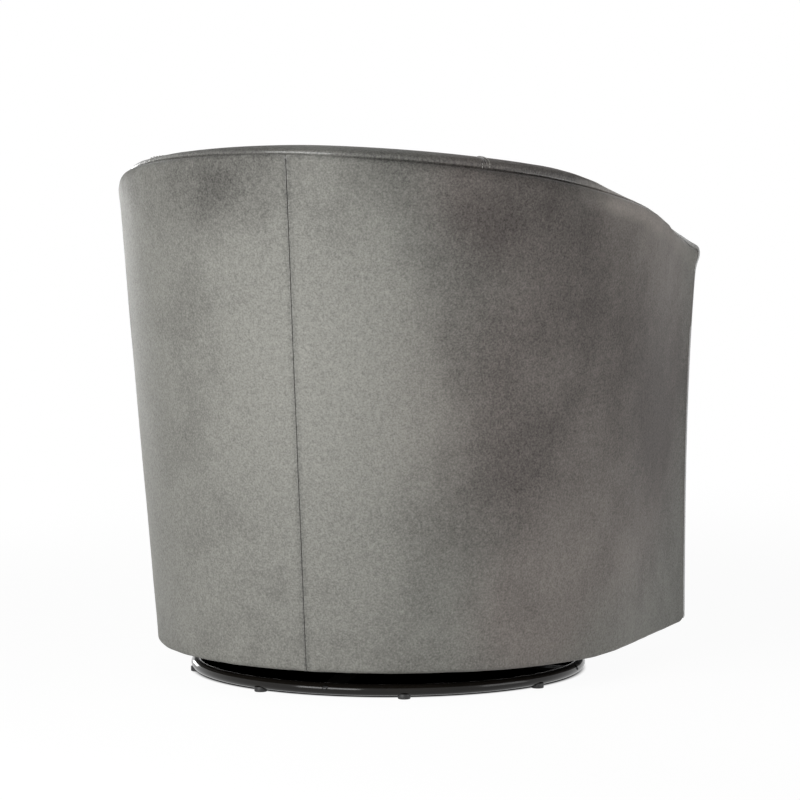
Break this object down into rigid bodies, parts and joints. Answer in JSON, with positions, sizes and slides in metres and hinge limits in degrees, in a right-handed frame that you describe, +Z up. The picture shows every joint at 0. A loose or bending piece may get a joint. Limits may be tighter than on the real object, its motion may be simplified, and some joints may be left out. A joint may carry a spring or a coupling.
{
  "type": "swivel barrel armchair",
  "caption": "Barrel-backed armchair in smooth grey leather whose seat turns on a low round steel ring base with floor glides.",
  "frame": {"origin": "on the floor, under the middle of the chair's overall box; the swivel axis stands at x 0, y -0.022", "axes": "+Z up; the chair's front faces -Y; +X is towards the sitter's left arm and along the widest size"},
  "size_m": [0.7722, 0.7263, 0.7619],
  "materials": {
    "leather": "smooth grey leather with a fine grain and a soft sheen",
    "plywood": "bare plywood",
    "fibreboard": "bare hardboard",
    "bare_steel": "bare steel",
    "bronze_paint": "dark bronze gloss paint",
    "black_nylon": "moulded black nylon",
    "deck_cloth": "grey felt",
    "dust_cloth": "black non-woven cloth"
  },
  "bodies": {
    "base": {"base_bar_1": "bronze_paint", "base_bar_2": "bronze_paint", "base_bar_3": "bronze_paint", "base_bar_4": "bronze_paint", "base_ring": "bronze_paint", "glide_1": "black_nylon", "glide_2": "black_nylon", "glide_3": "black_nylon", "glide_4": "black_nylon", "glide_5": "black_nylon", "glide_6": "black_nylon", "glide_7": "black_nylon", "glide_8": "black_nylon", "king_pin": "bare_steel", "lower_plate": "bronze_paint", "ring_rivet_1": "bronze_paint", "ring_rivet_2": "bronze_paint", "ring_rivet_3": "bronze_paint", "ring_rivet_4": "bronze_paint"},
    "ball_cage": {"ball_cage": "bare_steel"},
    "chair": {"arm_front_left": "leather", "arm_front_right": "leather", "arm_post_left": "plywood", "arm_post_right": "plywood", "back_post": "plywood", "base_panel": "plywood", "dust_cover": "dust_cloth", "front_border": "leather", "front_rail": "plywood", "inner_liner": "fibreboard", "inside_arm_left": "leather", "inside_arm_right": "leather", "inside_back": "leather", "outer_liner": "fibreboard", "outside_cover_left": "leather", "outside_cover_right": "leather", "plate_screw_1": "bare_steel", "plate_screw_2": "bare_steel", "plate_screw_3": "bare_steel", "plate_screw_4": "bare_steel", "rear_post_left": "plywood", "rear_post_right": "plywood", "seat_cushion": "leather", "seat_deck": "deck_cloth", "seat_panel": "plywood", "seat_spring_1": "bare_steel", "seat_spring_2": "bare_steel", "seat_spring_3": "bare_steel", "seat_spring_4": "bare_steel", "seat_spring_5": "bare_steel", "side_post_left": "plywood", "side_post_right": "plywood", "top_band_back": "leather", "top_band_left": "leather", "top_band_right": "leather", "top_rail": "plywood", "upper_plate": "bronze_paint"}
  },
  "joints": [
    {"name": "swivel", "type": "hinge", "parent": "base", "child": "chair", "pos_m": [0, -0.022, 0.0366], "axis": [0, 0, 1], "continuous": true},
    {"name": "cage_spin", "type": "hinge", "parent": "base", "child": "ball_cage", "pos_m": [0, -0.022, 0.0366], "axis": [0, 0, 1], "continuous": true}
  ],
  "couplings": [
    {"joint": "cage_spin", "follows": "swivel", "ratio": 0.5}
  ]
}
